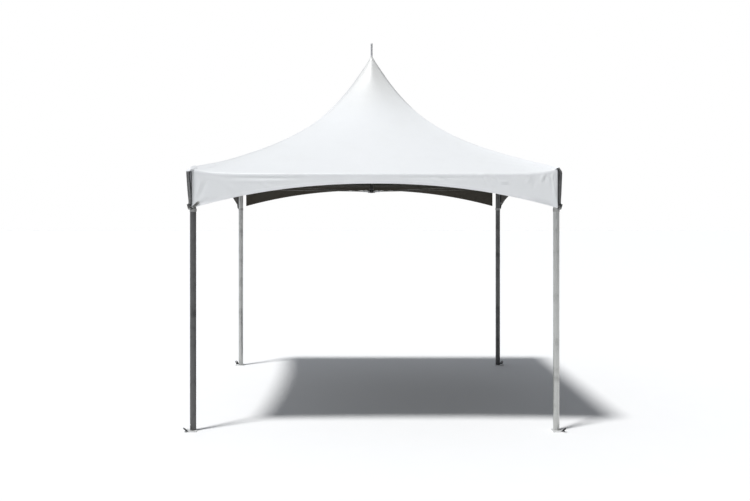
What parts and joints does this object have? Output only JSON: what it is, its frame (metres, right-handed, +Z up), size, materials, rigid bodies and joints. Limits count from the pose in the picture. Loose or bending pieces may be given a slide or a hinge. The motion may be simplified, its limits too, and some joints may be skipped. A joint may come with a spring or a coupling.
{
  "type": "marquee tent",
  "caption": "Square high-peak frame tent with tube legs, eave tubes, scooped valances and a cable-carried centre mast.",
  "frame": {"origin": "on the ground at the middle of the four legs", "axes": "+Z up, +X to the right as seen from the front, +Y towards the back"},
  "size_m": [3.143, 3.143, 3.478],
  "materials": {
    "vinyl": "white coated fabric, satin",
    "aluminium": "mill finish tube",
    "steel": "galvanised",
    "dark_steel": "dark plated",
    "webbing": "black woven webbing"
  },
  "bodies": {
    "root": {"roof_panel_front": "vinyl", "roof_panel_right": "vinyl", "roof_panel_back": "vinyl", "roof_panel_left": "vinyl", "valance_front": "vinyl", "valance_right": "vinyl", "valance_back": "vinyl", "valance_left": "vinyl", "peak_collar": "vinyl", "peak_pin": "steel", "mast": "aluminium", "mast_foot": "steel", "cable_back_right": "steel", "cable_back_left": "steel", "cable_front_left": "steel", "cable_front_right": "steel", "corner_crown_back_right": "steel", "corner_crown_back_left": "steel", "corner_crown_front_left": "steel", "corner_crown_front_right": "steel", "eave_tube_front": "aluminium", "eave_tube_right": "aluminium", "eave_tube_back": "aluminium", "eave_tube_left": "aluminium", "leg_back_right": "aluminium", "leg_back_left": "aluminium", "leg_front_left": "aluminium", "leg_front_right": "aluminium", "base_plate_back_right": "steel", "base_plate_back_left": "steel", "base_plate_front_left": "steel", "base_plate_front_right": "steel", "corner_strap_back_right": "webbing", "corner_strap_back_left": "webbing", "corner_strap_front_left": "webbing", "corner_strap_front_right": "webbing", "leg_loop_back_right": "webbing", "leg_loop_back_left": "webbing", "leg_loop_front_left": "webbing", "leg_loop_front_right": "webbing", "ratchet_back_right": "dark_steel", "ratchet_back_left": "dark_steel", "ratchet_front_left": "dark_steel", "ratchet_front_right": "dark_steel"}
  },
  "joints": []
}
